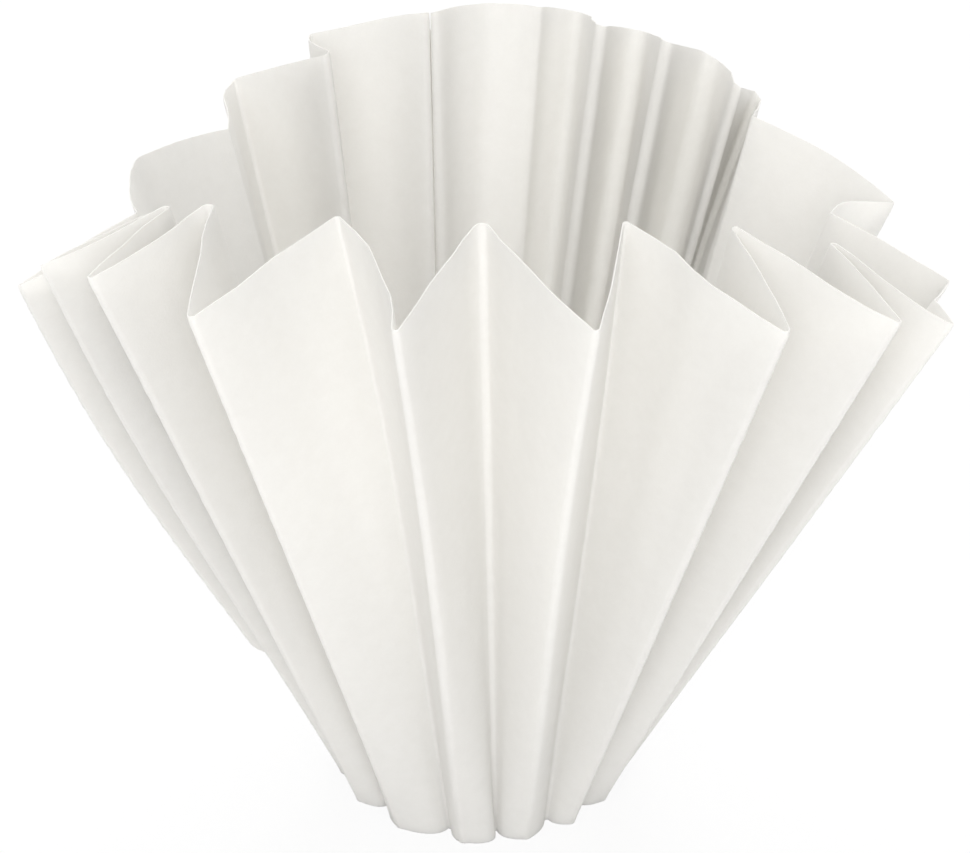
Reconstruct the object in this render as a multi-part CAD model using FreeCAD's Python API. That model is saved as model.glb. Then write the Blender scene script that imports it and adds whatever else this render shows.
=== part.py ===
"""Fluted paper coffee filter: one round sheet pleated round a flat bottom, opened by hand.

Millimetres, +Z up. The origin is the middle of the flat bottom, on the surface it stands on,
and -Y is the front. Angles go round from the front, counted towards +X.
"""
import FreeCAD
import Part
import math
import os

# The sheet
sheet_diameter = 162.0       # across the flat round sheet, before it is pleated
bottom_diameter = 33.0       # across the part of the sheet that forms the bottom
paper_thickness = 0.2

# The gathered bottom, where the pleats press together
bottom_ridge_radius = 13.0   # the ring that the outer folds stand on
bottom_groove_radius = 11.2  # the ring that the inner folds stand on

# The folds
fold_radius_rim = 0.4        # the rounding of a fold at the rim
fold_radius_bottom = 0.3     # the same at the bottom
panel_bow = 0.4              # how far a panel swells outwards between its folds, at the rim

# How each fold stands when the filter is open, in order from the front centre towards +X: the
# angle at which its foot stands on its ring, the direction it leans in, its lean from upright,
# all in degrees, and how many millimetres of its rim are bent over
OUTER_FOLDS = [
    (18, 14.5, 16.3, 0.0), (38.5, 40.5, 20.6, 0.0), (58.5, 51.4, 24.2, 0.0), (77, 52.4, 27.3, 0.0),
    (94, 60.7, 26.0, 1.7), (111, 85.4, 22.0, 4.8), (127, 142.6, 24.1, 5.8), (142, 150.2, 24.3, 3.9),
    (156, 154.4, 17.9, 2.4), (170, 164.8, 20.9, 1.9), (184, 176.0, 16.6, 1.1), (197, 181.8, 24.2, 4.0),
    (212, 202.8, 21.2, 2.9), (227, 211.7, 24.6, 5.4), (244, 267.8, 18.1, 3.6), (262, 296.8, 26.2, 3.5),
    (282, 298.6, 22.7, 0.7), (302, 303.2, 20.5, 0.0), (326, 317.1, 19.1, 0.0), (353, 344.8, 16.0, 0.0),
]
INNER_FOLDS = [
    (31, 40.7, 7.4, 0.5), (48, 57.0, 12.2, 0.6), (68, 65.0, 17.7, 1.9), (86, 56.5, 26.9, 0.5),
    (103, 70.1, 17.8, 3.7), (119, 115.1, 14.0, 3.7), (135, 122.4, 15.9, 2.8), (149, 135.1, 13.2, 0.7),
    (163, 150.1, 13.0, 0.7), (177, 166.2, 18.0, 0.7), (195, 184.5, 14.7, 0.7), (199, 184.3, 15.0, 0.7),
    (219, 206.0, 13.8, 2.7), (235, 231.6, 16.5, 6.8), (253, 290.3, 17.8, 4.1), (272, 290.8, 14.8, 3.2),
    (292, 286.9, 13.9, 1.7), (313, 285.1, 12.2, 0.6), (346, 298.0, 8.4, 0.2), (6.5, 348.9, 5.3, 0.3),
]

# How finely a bowed panel and a rounded fold are faceted
PANEL_FACETS = 4
FOLD_FACETS = 3
LONGEST_ROUNDING = 0.35      # a rounding takes at most this share of a panel

# Worked out
WALL_SLANT = (sheet_diameter - bottom_diameter) / 2
HALF_PAPER = paper_thickness / 2


def around(angle_deg, radius=1.0):
    """A level vector that points angle_deg round from the front."""
    angle = math.radians(angle_deg)
    return FreeCAD.Vector(radius * math.sin(angle), -radius * math.cos(angle), 0)


def fold_line(radius, foot_angle, swing, lean, bent_over):
    """The foot and the rim end of a fold whose foot stands on a ring of that radius."""
    foot = around(foot_angle, radius)
    tilt = math.radians(lean)
    direction = around(swing) * math.sin(tilt) + FreeCAD.Vector(0, 0, math.cos(tilt))
    return foot, foot + direction * (WALL_SLANT - bent_over)


def fold_lines():
    """Outer and inner folds in turn, all the way round."""
    lines = []
    for outer_fold, inner_fold in zip(OUTER_FOLDS, INNER_FOLDS):
        lines.append(fold_line(bottom_ridge_radius, *outer_fold))
        lines.append(fold_line(bottom_groove_radius, *inner_fold))
    return lines


def unit(vector):
    return FreeCAD.Vector(vector).normalize()


def toward(start, end, distance):
    return start + unit(end - start) * distance


def on_curve(start, bend, end, share):
    """A point of the quadratic curve that leaves start and reaches end, pulled towards bend."""
    return start * (1 - share) ** 2 + bend * (2 * share * (1 - share)) + end * share ** 2


def arc_over_fold(before, fold, after, radius):
    """Points along the arc that rounds a fold and has the fold line as its crest."""
    half_opening = (before - fold).getAngle(after - fold) / 2
    shorter = min((before - fold).Length, (after - fold).Length)
    reach = min(radius / math.tan(half_opening), LONGEST_ROUNDING * shorter)
    start, end = toward(fold, before, reach), toward(fold, after, reach)
    inward = unit((start + end) / 2 - fold)
    centre = fold + inward * (reach / math.cos(half_opening))
    to_crest = inward * (reach * math.tan(half_opening) - reach / math.cos(half_opening))
    turn = math.pi - 2 * half_opening
    points = []
    for step in range(FOLD_FACETS + 1):
        angle = turn * step / FOLD_FACETS
        points.append(centre + to_crest + (start - centre) * (math.sin(turn - angle) / math.sin(turn))
                      + (end - centre) * (math.sin(angle) / math.sin(turn)))
    return points


def fold_columns(before, fold, after):
    """Straight lines up the rounding of one fold, each as its foot and its rim end."""
    feet = arc_over_fold(before[0], fold[0], after[0], fold_radius_bottom)
    rims = arc_over_fold(before[1], fold[1], after[1], fold_radius_rim)
    return list(zip(feet, rims))


def panel_columns(start, end):
    """Straight lines up the bowed panel between the roundings of two folds."""
    across = end[0] + end[1] - start[0] - start[1]
    up = start[1] + end[1] - start[0] - end[0]
    bulge = (start[1] + end[1]) / 2 + unit(across.cross(up)) * (2 * panel_bow)
    columns = []
    for step in range(1, PANEL_FACETS):
        share = step / PANEL_FACETS
        columns.append((start[0] * (1 - share) + end[0] * share,
                        on_curve(start[1], bulge, end[1], share)))
    return columns


def wall_columns():
    """The middle of the paper's thickness all the way round, as straight lines up the wall."""
    folds = fold_lines()
    roundings = [fold_columns(folds[i - 1], fold, folds[(i + 1) % len(folds)])
                 for i, fold in enumerate(folds)]
    columns = []
    for i, rounding in enumerate(roundings):
        columns += rounding + panel_columns(rounding[-1], roundings[(i + 1) % len(folds)][0])
    return columns


def outward(columns, place):
    """The way that the paper faces between one column and the next."""
    foot, rim = columns[place % len(columns)]
    next_foot, next_rim = columns[(place + 1) % len(columns)]
    return unit((next_foot + next_rim - foot - rim).cross(rim + next_rim - foot - next_foot))


def level(vector):
    return unit(FreeCAD.Vector(vector.x, vector.y, 0))


def face_of_paper(columns, side, height):
    """Foot and rim ends of each column on one face of the paper: side +1 outside, -1 inside."""
    ends = []
    for place, (foot, rim) in enumerate(columns):
        before, after = outward(columns, place - 1), outward(columns, place)
        out = (before + after) / 2
        level_out = (level(before) + level(after)) / 2
        steepness = (before.dot(level(before)) + after.dot(level(after))) / 2
        start = foot + (rim - foot) * (height / (rim.z - foot.z))
        ends.append((start + level_out * (side * HALF_PAPER / steepness / level_out.dot(level_out)),
                     rim + out * (side * HALF_PAPER / out.dot(out))))
    return ends


def facet(*corners):
    return Part.Face(Part.makePolygon(corners + corners[:1]))


def strip(start, end):
    """Two flat facets between one line and the next, split from the first's foot to the next's rim."""
    return [facet(start[0], end[0], end[1]), facet(start[0], end[1], start[1])]


def filter_paper():
    """The whole sheet as one closed solid: outer face, inner face, rim edge and flat bottom."""
    columns = wall_columns()
    outside = face_of_paper(columns, 1, 0.0)
    inside = face_of_paper(columns, -1, paper_thickness)
    faces = []
    for place in range(len(columns)):
        after = (place + 1) % len(columns)
        faces += strip(outside[place], outside[after])
        faces += strip(inside[place], inside[after])
        faces += strip((outside[place][1], inside[place][1]), (outside[after][1], inside[after][1]))
    for ends in (outside, inside):
        faces.append(facet(*[foot for foot, rim in ends]))
    shell = Part.Shell(faces)
    shell.sewShape()
    solid = Part.Solid(shell)
    if solid.Volume < 0:
        solid.reverse()
    return solid


os.makedirs("parts", exist_ok=True)
sheet = filter_paper()
print("valid", sheet.isValid(), "closed", sheet.isClosed(), "faces", len(sheet.Faces))
print("volume", round(sheet.Volume, 1), "box", sheet.BoundBox)
sheet.exportStep("parts/filter_paper.step")
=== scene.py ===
# %% [markdown]
# # A fluted paper coffee filter
# The real thing is one round sheet of thin, soft filter paper. A press folds its wall into
# twenty pleats round a flat bottom, and a hand has opened it a little, so the pleats at the
# front stand sharp and wide and those at the back have gone soft. This lesson builds that one
# sheet as a mesh, gives it a paper finish, and photographs it on a white table.

# %% The frame
import bpy
import math
import numpy as np
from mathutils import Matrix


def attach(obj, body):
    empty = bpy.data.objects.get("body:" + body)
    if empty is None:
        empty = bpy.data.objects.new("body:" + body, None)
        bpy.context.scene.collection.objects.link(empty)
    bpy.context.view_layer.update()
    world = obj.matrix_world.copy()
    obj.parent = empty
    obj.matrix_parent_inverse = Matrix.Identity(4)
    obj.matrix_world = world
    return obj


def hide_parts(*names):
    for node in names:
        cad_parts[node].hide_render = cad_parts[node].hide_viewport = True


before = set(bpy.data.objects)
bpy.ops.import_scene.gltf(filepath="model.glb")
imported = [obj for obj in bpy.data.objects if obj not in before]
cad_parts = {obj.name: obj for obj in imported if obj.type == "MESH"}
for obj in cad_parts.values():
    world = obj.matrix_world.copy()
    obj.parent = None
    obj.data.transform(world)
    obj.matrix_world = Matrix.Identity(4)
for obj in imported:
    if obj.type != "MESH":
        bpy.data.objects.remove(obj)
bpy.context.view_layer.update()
NODE = "filter_paper"

# %% [markdown]
# ## The sheet's sizes
# A pleated wall has two families of folds: outer folds, which point away from the middle, and
# inner folds between them. All lengths here are in millimetres, as on a drawing, and they
# become metres only when the mesh is made. The flat sheet's wall is a ring, so every fold is
# as long as that ring is wide.

# %% Sizes
MM = 0.001
SHEET_DIAMETER = 162.0
BOTTOM_DIAMETER = 33.0
WALL_SLANT = (SHEET_DIAMETER - BOTTOM_DIAMETER) / 2
PAPER = 0.2
RIDGE_RADIUS = 13.0
GROOVE_RADIUS = 11.2
PLEATS = 20
FOLDS = 2 * PLEATS
print("the wall is", WALL_SLANT, "mm wide and has", FOLDS, "folds")

# %% [markdown]
# ## Where each fold leans
# A hand never opens a filter evenly, so the folds can't come from one formula. Each fold is a
# line from its foot to the rim, and one row says how it stands: where its foot is and which way
# it leans, both in degrees from the front towards the right, its lean from upright, and how
# many millimetres of its rim are bent over. Three more numbers give its character: the radius
# of its rounding at the rim, and how far it strays sideways and outwards above half way.

# %% Outer folds, from the front centre towards the right
OUTER = [
    (18, 14.5, 16.3, 0.0, 0.3, -0.4, 0.0), (38.5, 40.5, 20.6, 0.0, 0.35, 0.0, 0.0),
    (58.5, 51.4, 24.2, 0.0, 0.35, 0.0, 0.0), (77, 52.4, 27.3, 0.0, 0.35, 0.0, 0.0),
    (94, 60.7, 26.0, 1.7, 0.35, 0.0, 0.0), (111, 85.4, 22.0, 4.8, 0.35, 0.0, 0.0),
    (127, 142.6, 24.1, 5.8, 0.6, 0.0, -3.4), (142, 148.5, 24.3, 3.9, 2.2, 0.0, 0.0),
    (156, 152.2, 17.9, 2.4, 2.6, 0.0, 0.0), (170, 162.8, 20.9, 1.9, 2.6, 0.0, 0.0),
    (184, 175.2, 16.6, 1.1, 2.6, 0.0, 0.0), (197, 181.8, 24.2, 4.0, 0.35, 0.0, 0.0),
    (212, 202.8, 21.2, 2.9, 0.35, 0.0, 0.0), (227, 211.7, 24.6, 5.4, 0.5, 0.0, 0.0),
    (244, 267.8, 16.6, 4.4, 3.2, 0.0, 0.0), (262, 296.8, 26.2, 3.5, 0.35, 0.0, 1.3),
    (282, 298.6, 22.7, 0.7, 0.35, 0.0, 0.9), (302, 303.2, 20.5, 0.0, 0.35, 0.0, 0.0),
    (326, 317.1, 19.1, 0.0, 0.35, 0.0, 0.0), (353, 344.8, 16.0, 0.0, 0.3, 0.3, 0.0),
]
print("outer folds:", len(OUTER), "lean from upright:", min(row[2] for row in OUTER), "to",
      max(row[2] for row in OUTER), "degrees")

# %% Inner folds, each the next one after the outer fold in the same place
INNER = [
    (31, 40.7, 7.4, 0.5, 0.35, 0.3, 0.0), (48, 57.0, 12.2, 0.6, 0.35, 0.0, 0.0),
    (68, 65.0, 17.7, 1.9, 0.35, 0.0, 0.0), (86, 56.5, 26.9, 0.5, 0.35, 0.0, 0.0),
    (103, 70.1, 17.8, 3.7, 0.35, 0.0, 0.0), (119, 115.1, 14.0, 3.7, 0.35, 0.0, 0.0),
    (135, 122.4, 15.9, 2.8, 0.35, 0.0, 0.0), (149, 135.1, 13.2, 0.7, 0.5, 0.0, 0.0),
    (163, 150.1, 13.0, 0.7, 0.5, 0.0, 0.0), (177, 166.2, 18.0, 0.7, 0.5, 0.0, 0.0),
    (195, 184.5, 14.7, 0.7, 0.35, 0.0, 0.0), (199, 184.3, 15.0, 0.7, 0.35, 0.0, 0.0),
    (219, 206.0, 13.8, 2.7, 0.35, 0.0, 0.0), (235, 231.6, 16.5, 6.8, 0.35, 0.0, 0.0),
    (253, 290.3, 17.8, 4.1, 0.35, 0.0, 0.0), (272, 290.8, 14.8, 3.2, 0.35, 0.0, 0.0),
    (292, 286.9, 13.9, 1.7, 0.35, 0.0, 0.0), (313, 285.1, 12.2, 0.6, 0.35, 0.0, 0.0),
    (346, 298.0, 8.4, 0.2, 0.35, 1.9, 0.0), (6.5, 348.9, 5.3, 0.3, 0.6, 0.0, 0.0),
]
print("inner folds:", len(INNER), "lean from upright:", min(row[2] for row in INNER), "to",
      max(row[2] for row in INNER), "degrees")

# %% [markdown]
# ## The lines of the folds
# A fold's foot stands on one of two rings on the bottom, and the front pleats are spread a
# little wider there than the back ones. From its foot a fold rises in a straight line, apart
# from a slow stray that is greatest above half way.

# %% Lines of the folds
def around(degrees):
    """A level unit vector that points so many degrees round from the front."""
    angle = math.radians(degrees)
    return np.array([math.sin(angle), -math.cos(angle), 0.0])


def fold_line(radius, foot_angle, swing, lean, bent_over):
    """The foot and the rim end of a fold whose foot stands on a ring of that radius."""
    tilt = math.radians(lean)
    foot = radius * around(foot_angle)
    direction = around(swing) * math.sin(tilt) + np.array([0.0, 0.0, math.cos(tilt)])
    return foot, foot + direction * (WALL_SLANT - bent_over)


feet, rims, rim_radius, strays = [], [], [], []
for outer_row, inner_row in zip(OUTER, INNER):
    for row, ring in ((outer_row, RIDGE_RADIUS), (inner_row, GROOVE_RADIUS)):
        foot, rim = fold_line(ring, *row[:4])
        out = around(row[1])
        sideways = np.array([-out[1], out[0], 0.0])
        feet.append(foot)
        rims.append(rim)
        rim_radius.append(row[4])
        strays.append(sideways * row[5] + out * row[6])
feet, rims, strays = np.array(feet), np.array(rims), np.array(strays)
print("folds:", len(feet), "highest rim point:", round(rims[:, 2].max(), 1))

# %% [markdown]
# ## One level of the wall
# At any height the paper is a closed zigzag of forty corners. Each corner is rounded with an
# arc that has the fold line as its crest, so a soft fold gets a wide arc and stays in its
# place. Between two arcs the panel bows gently, as paper does when a hand has pulled its
# neighbours apart. Points are taken at the same shares of every arc and panel at every level,
# so that the levels join up into a clean grid of quads.

# %% Corners and arcs
ARC_STEPS = 4
PANEL_STEPS = 7
FOLD_COLUMNS = ARC_STEPS + PANEL_STEPS
LONGEST_ARC_SHARE = 0.36     # an arc takes at most this share of a panel
STRAIGHTEST = 0.9999         # keeps the cosine of a corner just inside its limits


def unit(vectors):
    """The same vectors, each one long."""
    return vectors / np.linalg.norm(vectors, axis=-1, keepdims=True)


def arcs_over_corners(corners, radii):
    """For each corner of a closed line, the points of the arc that rounds it, crest on the corner."""
    to_before = unit(np.roll(corners, 1, axis=0) - corners)
    to_after = unit(np.roll(corners, -1, axis=0) - corners)
    side = np.linalg.norm(np.roll(corners, -1, axis=0) - corners, axis=1)
    shorter = np.minimum(side, np.roll(side, 1))
    half = np.arccos(np.clip((to_before * to_after).sum(1), -STRAIGHTEST, STRAIGHTEST)) / 2
    reach = np.minimum(radii / np.tan(half), LONGEST_ARC_SHARE * shorter)
    inward = unit(to_before + to_after)
    centre = corners + inward * (reach / np.cos(half))[:, None]
    to_crest = inward * (reach * np.tan(half) - reach / np.cos(half))[:, None]
    start = corners + to_before * reach[:, None] - centre
    end = corners + to_after * reach[:, None] - centre
    turn = np.pi - 2 * half
    points = []
    for step in range(ARC_STEPS + 1):
        angle = turn * step / ARC_STEPS
        points.append(centre + to_crest + start * (np.sin(turn - angle) / np.sin(turn))[:, None]
                      + end * (np.sin(angle) / np.sin(turn))[:, None])
    return np.array(points).transpose(1, 0, 2)


def closed_line(corners, radii, bows, sways, outward):
    """The whole way round at one level: arcs, and bowed panels between them."""
    arcs = arcs_over_corners(corners, radii)
    starts, ends = arcs[:, -1], np.roll(arcs[:, 0], -1, axis=0)
    shares = np.arange(1, PANEL_STEPS)[None, :, None] / PANEL_STEPS
    panels = starts[:, None] * (1 - shares) + ends[:, None] * shares
    swell = 4 * bows[:, None, None] * shares * (1 - shares)
    ripple = sways[:, None, None] * np.sin(2 * np.pi * shares)
    panels = panels + outward[:, None] * (swell + ripple)
    return np.concatenate([arcs, panels], axis=1).reshape(-1, 3)


COLUMNS = FOLDS * FOLD_COLUMNS
print("points round one level:", COLUMNS)

# %% [markdown]
# ## How much each panel bows
# Most panels are nearly flat. The wide one at the back right, behind the corner of the fan, is
# the roundest. The turned-back strip beside it is hollow, and so is the front panel left of the
# centre. A few panels sway: they are full beside one fold and hollow beside the other. At the
# foot the bottom holds the paper, and only the front panels swell there, by about a millimetre
# at most.
#
# Each row below names a panel by the fold before it, outer or inner, and that fold's row in its
# list. Then come the swell at the rim and at the foot, and the sway at the rim, in millimetres.

# %% Bows of the panels
USUAL_BOW = 0.2
OWN_BOWS = [
    ("O", 0, 0.2, 0.3, 0.0), ("I", 0, 0.15, 0.3, -0.25), ("I", 1, 0.3, 0.4, -0.2),
    ("I", 2, 0.3, 0.4, -0.12), ("O", 3, 0.1, 0.0, 0.0), ("I", 3, 0.1, 0.0, 0.0),
    ("I", 4, -1.4, 0.0, 0.0), ("O", 5, 1.0, 0.0, 0.0), ("O", 7, 0.4, 0.0, 0.0),
    ("O", 8, 0.4, 0.0, 0.0), ("O", 9, 0.4, 0.0, 0.0), ("I", 11, 0.4, 0.0, 0.2),
    ("O", 12, 0.4, 0.0, 0.0), ("I", 12, 0.3, 0.0, 0.0), ("O", 13, 0.4, 0.0, 0.2),
    ("I", 13, 0.5, 0.0, 0.0), ("O", 14, 0.6, 0.0, 0.0), ("O", 16, 0.35, 0.3, 0.12),
    ("O", 17, 0.3, 0.5, 0.15), ("I", 17, 0.1, 0.3, 0.0), ("O", 18, -0.1, 0.9, 0.1),
    ("I", 18, -1.2, 0.2, 0.0), ("O", 19, -0.15, 1.1, 0.0), ("I", 19, 0.3, 0.5, 0.0),
]
rim_bows = np.full(FOLDS, USUAL_BOW)
foot_bows = np.zeros(FOLDS)
rim_sways = np.zeros(FOLDS)
for kind, pleat, rim_bow, foot_bow, rim_sway in OWN_BOWS:
    panel = 2 * pleat + (0 if kind == "O" else 1)
    rim_bows[panel] = rim_bow
    foot_bows[panel] = foot_bow
    rim_sways[panel] = rim_sway
print("panels that bow in their own way:", len(OWN_BOWS), "of", FOLDS)

# %% [markdown]
# ## The level lines, stacked
# The wall is a stack of such lines, from the foot to the rim. They are spread almost evenly, a
# little closer together at a quarter and at three quarters of the way up. All folds have the
# same rounding at the foot. Most are a little sharper at the rim, and the soft ones at the back
# open wide there. The leftmost fold is crushed low down, and above that place it stands out in
# a small ledge.

# %% Levels of the wall
LEVELS = 104
LEVEL_CROWDING = 0.035       # how uneven the spread of the levels is
FOOT_RADIUS = 0.45
RADIUS_RISE = 1.2            # the powers say how late a change comes on the way up
STRAY_RISE = 1.5
BOW_RISE = 1.5
FOOT_BOW_FALL = 3
LEDGE_FOLD = 2 * 15          # the outer fold of row 15, counted from 0
LEDGE_SWING = 280.0
LEDGE_SHARE = 0.21           # how far up it begins, and over what share it steps out
LEDGE_STEPS_OVER = 0.03
LEDGE_WIDTH = 1.7
shares_up = np.linspace(0, 1, LEVELS)
shares_up = shares_up + LEVEL_CROWDING * np.sin(4 * np.pi * shares_up) / np.pi
centre_line = PAPER / 2


def outward_of(corners_low, corners_high):
    """The level unit vector that each panel faces, out of the filter."""
    across = np.roll(corners_low + corners_high, -1, axis=0) - corners_low - corners_high
    facing = np.stack([across[:, 1], -across[:, 0], np.zeros(len(across))], axis=1)
    return unit(facing)


outward = outward_of(feet, rims)
rim_radius = np.array(rim_radius)
wall = []
for share in shares_up:
    corners = feet + (rims - feet) * share + strays * math.sin(math.pi * share ** STRAY_RISE)
    past_ledge = min(1.0, max(0.0, (share - LEDGE_SHARE) / LEDGE_STEPS_OVER))
    corners[LEDGE_FOLD] += around(LEDGE_SWING) * (LEDGE_WIDTH * past_ledge * (1 - share))
    radii = FOOT_RADIUS + (rim_radius - FOOT_RADIUS) * share ** RADIUS_RISE
    bows = rim_bows * share ** BOW_RISE + foot_bows * (1 - share) ** FOOT_BOW_FALL
    wall.append(closed_line(corners, radii, bows, rim_sways * share ** BOW_RISE, outward))
wall = np.array(wall)
wall[..., 2] += centre_line
print("wall grid:", wall.shape, "rim height", round(wall[-1, :, 2].max(), 2))

# %% [markdown]
# ## Small unevenness
# Thin paper is never a perfect surface: it holds long shallow waves from the press and short
# crimps beside each fold. Sums of a few sine waves with seeded phases give both, the same in
# every run, and push the paper along its own facing by at most a few tenths of a millimetre.

# %% Facings and waves
SEED = 7
rng = np.random.default_rng(SEED)


def facings(grid):
    """Unit normals of a grid of points, one row per level, each row closed in a ring."""
    across = np.roll(grid, -1, axis=1) - np.roll(grid, 1, axis=1)
    up = np.gradient(grid, axis=0)
    return unit(np.cross(across, up))


def waves(along, up, lengths, headings, height, count):
    """A sum of sine waves over the paper, of lengths in millimetres and headings in radians."""
    total = np.zeros(np.broadcast(along, up).shape)
    for _ in range(count):
        length = rng.uniform(*lengths)
        heading = rng.uniform(*headings)
        phase = rng.uniform(0, 2 * np.pi)
        path = along * np.cos(heading) + up * np.sin(heading)
        total += np.sin(2 * np.pi * path / length + phase)
    return height * total / math.sqrt(count)


# %% [markdown]
# ## Where the waves lie
# The crests of the long waves run up the panels, as the press left them. The waves grow from
# the foot, where the pleats are narrow, towards the rim. Beside the folds they give way to the
# crimps, and where the ring closes they fade out, so that its ends meet. Nothing is pushed at
# the foot line.

# %% The push on each point
STILL_FOOT = 12.0            # the unevenness grows to its full height over this many millimetres
CRIMP_REACH = 2.5            # columns from a fold over which its crimps fade
SEAM_COLUMNS = 6             # columns beside the closing of the ring over which the waves fade
STREAKS_AT_FOOT = 0.2
CALM_BESIDE_FOLDS = 0.85
rim_steps = np.linalg.norm(np.diff(wall[-1:], axis=1), axis=2)
along_rim = np.concatenate([np.zeros((1, 1)), np.cumsum(rim_steps, axis=1)], axis=1)
up = shares_up[:, None] * WALL_SLANT
fade = (np.sin(np.clip(up / STILL_FOOT, 0, 1) * np.pi / 2)) ** 2
column_in_fold = np.arange(COLUMNS) % FOLD_COLUMNS
past_crest = np.abs(column_in_fold - ARC_STEPS / 2)
before_next = FOLD_COLUMNS + ARC_STEPS / 2 - column_in_fold
from_crest = np.minimum(past_crest, before_next)
near_fold = np.exp(-(from_crest / CRIMP_REACH) ** 2)
from_seam = np.minimum(np.arange(COLUMNS), COLUMNS - 1 - np.arange(COLUMNS))
seam_fade = np.minimum(1, from_seam / SEAM_COLUMNS)
streak_growth = STREAKS_AT_FOOT + (1 - STREAKS_AT_FOOT) * shares_up[:, None]
streaks = waves(along_rim, up, lengths=(6, 17), headings=(-0.1, 0.1), height=0.13, count=8)
mottle = waves(along_rim, up, lengths=(4, 9), headings=(0, np.pi), height=0.012, count=9)
crimps = waves(from_crest[None], up, lengths=(1.4, 3.5), headings=(1.2, 1.9), height=0.018, count=8)
calm = seam_fade * (1 - CALM_BESIDE_FOLDS * near_fold)
push = (streaks * streak_growth + mottle) * calm + crimps * near_fold
wall = wall + facings(wall) * (push * fade)[..., None]
print("largest push in mm:", round(float(np.abs(push * fade).max()), 2))

# %% [markdown]
# ## The bottom
# Under the wall the same sheet runs across the bottom, flat on the table. Rings of points
# shrink from the wall's foot to one point in the middle, so wall and bottom are one grid. At
# the foot the wall is made to face level, so it reaches the table with a sharp crease.

# %% Rings of the bottom
RING_SHARES = (0.3, 0.55, 0.75, 0.88, 0.95, 0.985)
middle = np.array([0.0, 0.0, centre_line])
foot_line = wall[0]
rings = [middle + (foot_line - middle) * share for share in RING_SHARES]
grid = np.concatenate([np.array(rings), wall])
normals = facings(grid)
flat_rows = len(rings)
normals[:flat_rows] = (0.0, 0.0, -1.0)
normals[flat_rows] = unit(facings(wall)[0] * np.array([1.0, 1.0, 0.0]))
print("grid with the bottom:", grid.shape)

# %% [markdown]
# ## From a surface to a sheet
# The grid is the middle of the paper. Pushing it half the paper's thickness out and in gives
# the two faces, and a narrow band along the rim joins them, so the mesh is closed like a real
# sheet. Each face of the bottom ends in one middle point. The surface is shaded smooth, apart
# from the crease at the foot and the two edges of the rim, which are marked sharp.

# %% Sharp edges
def mark_sharp(mesh, size, columns, sharp_rows):
    """Marks the level edges of some rows of the sheet's two grids, of that size each, as sharp."""
    ends = np.zeros(2 * len(mesh.edges), dtype=int)
    mesh.edges.foreach_get("vertices", ends)
    ends = ends.reshape(-1, 2)
    rows_of_ends = (ends % size) // columns
    in_sheet = (ends < 2 * size).all(axis=1)
    level_edge = in_sheet & (rows_of_ends[:, 0] == rows_of_ends[:, 1])
    sharp = level_edge & np.isin(rows_of_ends[:, 0], sharp_rows)
    mesh.attributes.new("sharp_edge", "BOOLEAN", "EDGE").data.foreach_set("value", sharp)
    print("sharp edges:", int(sharp.sum()))


# %% The mesh
CUT_EDGE_SHARE = 0.4         # the die squeezes the rim to this share of the thickness


def sheet_mesh(name, grid, normals):
    """A closed mesh of the paper from its middle surface, in metres."""
    rows, columns = grid.shape[:2]
    half = np.full((rows, 1, 1), PAPER / 2)
    half[-1] *= CUT_EDGE_SHARE
    outer = grid + normals * half
    inner = grid - normals * half
    outer[:flat_rows + 1, :, 2] = 0.0
    inner[:flat_rows + 1, :, 2] = PAPER
    points = np.concatenate([outer.reshape(-1, 3), inner.reshape(-1, 3),
                             [[0.0, 0.0, 0.0], [0.0, 0.0, PAPER]]])
    points[:, 2] = np.maximum(points[:, 2], 0.0)
    size = rows * columns
    faces = []
    for row in range(rows - 1):
        for column in range(columns):
            a = row * columns + column
            b = row * columns + (column + 1) % columns
            faces.append((a, b, b + columns, a + columns))
            faces.append((size + a, size + a + columns, size + b + columns, size + b))
    for column in range(columns):
        a, b = column, (column + 1) % columns
        top_a, top_b = (rows - 1) * columns + a, (rows - 1) * columns + b
        faces.append((top_a, top_b, size + top_b, size + top_a))
        faces.append((b, a, 2 * size))
        faces.append((size + a, size + b, 2 * size + 1))
    mesh = bpy.data.meshes.new(name)
    mesh.from_pydata((points * MM).tolist(), [], faces)
    mesh.update()
    mesh.polygons.foreach_set("use_smooth", [True] * len(mesh.polygons))
    mark_sharp(mesh, size, columns, (flat_rows, rows - 1))
    return mesh


paper_mesh = sheet_mesh("filter_sheet", grid, normals)
sheet = bpy.data.objects.new("filter_sheet", paper_mesh)
bpy.context.scene.collection.objects.link(sheet)
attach(sheet, "root")
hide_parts(NODE)
print("faces of the sheet:", len(paper_mesh.polygons))

# %% [markdown]
# ## A small language for shaders
# Node trees are easier to read as arithmetic. This class wraps one socket and turns + and * into
# Math nodes, and its node method makes any other node from its type, its settings and the
# values or links of its sockets. A socket is named by its own name, with _ for a space, or by
# its number after an i.

# %% The shader class
class Socket:
    """A node's output socket that can be used in expressions."""

    def __init__(self, tree, output):
        self.tree = tree
        self.output = output

    def node(self, kind, settings=None, out=0, **inputs):
        """Makes a node in the same tree and returns its output as a Socket."""
        made = self.tree.nodes.new(kind)
        for name, value in (settings or {}).items():
            if name == "stops":
                set_stops(made.color_ramp, value)
            else:
                setattr(made, name, value)
        for name, value in inputs.items():
            key = int(name[1:]) if name[1:].isdigit() else name.replace("_", " ")
            target = made.inputs[key]
            if isinstance(value, Socket):
                self.tree.links.new(value.output, target)
            else:
                target.default_value = value
        return Socket(self.tree, made.outputs[out])

    def math(self, operation, first, second):
        """A Math node on two sockets or numbers."""
        return self.node("ShaderNodeMath", {"operation": operation}, i0=first, i1=second)

    def __add__(self, other):
        return self.math("ADD", self, other)

    def __radd__(self, other):
        return self.math("ADD", other, self)

    def __mul__(self, other):
        return self.math("MULTIPLY", self, other)

    def __rmul__(self, other):
        return self.math("MULTIPLY", other, self)


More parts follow.
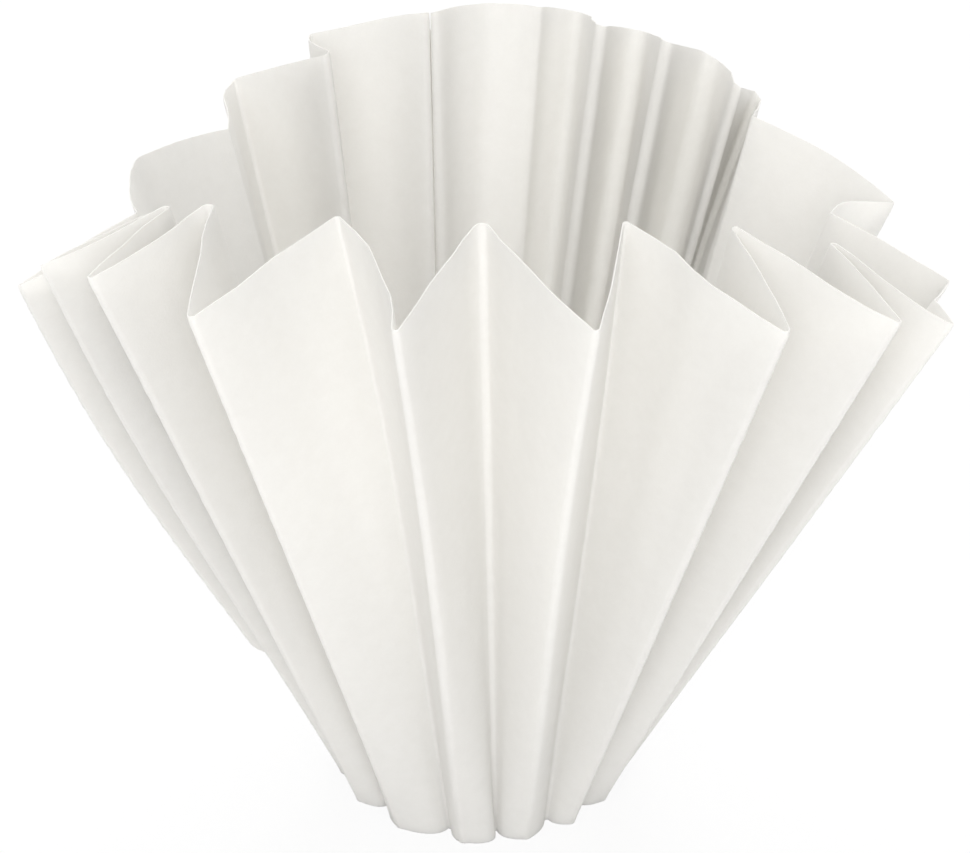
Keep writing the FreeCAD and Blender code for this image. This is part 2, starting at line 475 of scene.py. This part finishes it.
def set_stops(ramp, stops):
    """Gives a colour ramp its stops, each a place from 0 to 1 and a colour."""
    while len(ramp.elements) > 1:
        ramp.elements.remove(ramp.elements[-1])
    for number, (place, colour) in enumerate(stops):
        element = ramp.elements[0] if number == 0 else ramp.elements.new(place)
        element.position = place
        element.color = colour


def new_material(name):
    """An empty material, its output node and a starting Socket for its tree."""
    material = bpy.data.materials.new(name)
    material.use_nodes = True
    material.node_tree.nodes.clear()
    output = material.node_tree.nodes.new("ShaderNodeOutputMaterial")
    return material, output, Socket(material.node_tree, None)


# %% [markdown]
# ## Filter paper
# Bleached filter paper is matt and nearly white. Held up to light it is cloudy, because its
# fibres lie thicker in some spots than in others, and its surface has a fine felt. Clouds
# and felt come from noise in object space, which stays put when the camera moves. The paper
# is thin enough to let much of the light through, so a translucent shader is mixed in.

# %% The paper material
CLOUD_SCALE = 900.0          # noise cells per metre
FIBRE_SCALE = 4200.0
CLOUD_WEIGHT = 0.6
FIBRE_WEIGHT = 0.4
THIN_PAPER = (0.915, 0.908, 0.895, 1.0)
THICK_PAPER = (0.955, 0.95, 0.94, 1.0)
LIGHT_THROUGH = (0.95, 0.94, 0.91, 1.0)
FELT_STRENGTH = 0.15
FELT_DEPTH = 0.00006
LEAST_ROUGHNESS = 0.82
FIBRE_ROUGHNESS = 0.12
SPECULAR_LEVEL = 0.25
TRANSLUCENT_SHARE = 0.42
SOLID_NOISE = {"noise_dimensions": "3D"}
CLOUD_STOPS = {"stops": [(0.3, THIN_PAPER), (0.7, THICK_PAPER)]}
material, output, start = new_material("filter_paper_visible")
place = start.node("ShaderNodeTexCoord", out=3)
clouds = start.node("ShaderNodeTexNoise", SOLID_NOISE, Vector=place, Scale=CLOUD_SCALE, Detail=2.0,
                    Roughness=0.6)
fibres = start.node("ShaderNodeTexNoise", SOLID_NOISE, Vector=place, Scale=FIBRE_SCALE, Detail=1.0,
                    Roughness=0.7)
tone = clouds * CLOUD_WEIGHT + fibres * FIBRE_WEIGHT
colour = start.node("ShaderNodeValToRGB", CLOUD_STOPS, Fac=tone)
bump = start.node("ShaderNodeBump", Height=fibres, Strength=FELT_STRENGTH, Distance=FELT_DEPTH)
rough = LEAST_ROUGHNESS + fibres * FIBRE_ROUGHNESS
paper = start.node("ShaderNodeBsdfPrincipled", Base_Color=colour, Roughness=rough, Normal=bump)
paper.output.node.inputs["Specular IOR Level"].default_value = SPECULAR_LEVEL
through = start.node("ShaderNodeBsdfTranslucent", Color=LIGHT_THROUGH, Normal=bump)
mixed = start.node("ShaderNodeMixShader", i0=TRANSLUCENT_SHARE, i1=paper, i2=through)
material.node_tree.links.new(mixed.output, output.inputs["Surface"])
paper_mesh.materials.append(material)
print("paper nodes:", len(material.node_tree.nodes))

# %% [markdown]
# ## The table
# The photograph shows the filter on pure white. A white floor that glows only for the camera
# gives that background, while the object still stands on it, shaded by a soft shadow.

# %% The floor
FLOOR_WIDTH = 3.0
FLOOR_WHITE = (0.86, 0.86, 0.86, 1.0)
WHITE = (1.0, 1.0, 1.0, 1.0)
GLOW_SHARE = 0.9
bpy.ops.mesh.primitive_plane_add(size=FLOOR_WIDTH, location=(0, 0, 0))
floor = bpy.context.active_object
floor.name = "floor"
floor_material, floor_output, start = new_material("white_table")
seen = start.node("ShaderNodeLightPath", out=0)
matt = start.node("ShaderNodeBsdfDiffuse", Color=FLOOR_WHITE)
glow = start.node("ShaderNodeEmission", Color=WHITE, Strength=1.0)
floor_mix = start.node("ShaderNodeMixShader", i0=seen * GLOW_SHARE, i1=matt, i2=glow)
floor_material.node_tree.links.new(floor_mix.output, floor_output.inputs["Surface"])
floor.data.materials.append(floor_material)
print("floor:", FLOOR_WIDTH, "m wide, with", len(floor_material.node_tree.nodes), "nodes")

# %% [markdown]
# ## Light
# A white room with three large soft lamps. Two stand in front, one high and a little to the left
# and one low. The third stands behind, and its light comes through the paper: it is what
# keeps the deep pleats from going dark.

# %% Lamps and world
LAMP_WIDTH = 0.8
ROOM_STRENGTH = 0.6
MIDDLE = (0.0, 0.0, 0.035)


def soft_lamp(name, place, aim, size, watts):
    """A square area lamp of that size, at a place, aimed at a point; all in metres."""
    data = bpy.data.lights.new(name, "AREA")
    data.shape = "SQUARE"
    data.size = size
    data.energy = watts
    lamp = bpy.data.objects.new(name, data)
    bpy.context.scene.collection.objects.link(lamp)
    lamp.location = place
    away = np.array(place) - np.array(aim)
    tip = math.atan2(math.hypot(away[0], away[1]), away[2])
    lamp.rotation_euler = (tip, 0, math.atan2(away[0], -away[1]))
    return lamp


lamps = [soft_lamp("key", (-0.05, -0.87, 0.7), MIDDLE, LAMP_WIDTH, 3.8),
         soft_lamp("low front", (0.0, -1.05, 0.3), MIDDLE, LAMP_WIDTH, 2.6),
         soft_lamp("back", (0.0, 0.8, 0.75), MIDDLE, LAMP_WIDTH, 9.2)]
world = bpy.data.worlds.new("room")
bpy.context.scene.world = world
world.use_nodes = True
background = world.node_tree.nodes["Background"]
background.inputs["Color"].default_value = WHITE
background.inputs["Strength"].default_value = ROOM_STRENGTH
print("lamps:", {lamp.name: lamp.data.energy for lamp in lamps})

# %% [markdown]
# ## The camera
# It looks down on the filter from the front, from 270 mm away and 31.7 degrees above the
# table. From there the folds line up with those in the photograph.

# %% The camera
ELEVATION = math.radians(31.7)
DISTANCE = 0.270
AIM = np.array([0.35, 0.0, 35.5]) * MM
PHOTO_WIDTH = 970            # this and the next two are in pixels
FOCAL_LENGTH = 3145.5
SHIFT_DOWN = 2.6
SENSOR = 36.0
camera_data = bpy.data.cameras.new("camera")
camera_data.sensor_width = SENSOR
camera_data.lens = FOCAL_LENGTH / PHOTO_WIDTH * SENSOR
camera_data.shift_y = -SHIFT_DOWN / PHOTO_WIDTH
camera_data.clip_start = 0.01
camera = bpy.data.objects.new("camera", camera_data)
bpy.context.scene.collection.objects.link(camera)
camera.location = AIM + DISTANCE * np.array([0.0, -math.cos(ELEVATION), math.sin(ELEVATION)])
camera.rotation_euler = (math.pi / 2 - ELEVATION, 0.0, 0.0)
bpy.context.scene.camera = camera
bpy.context.scene.view_settings.view_transform = "Standard"
print("camera at", [round(value, 3) for value in camera.location])
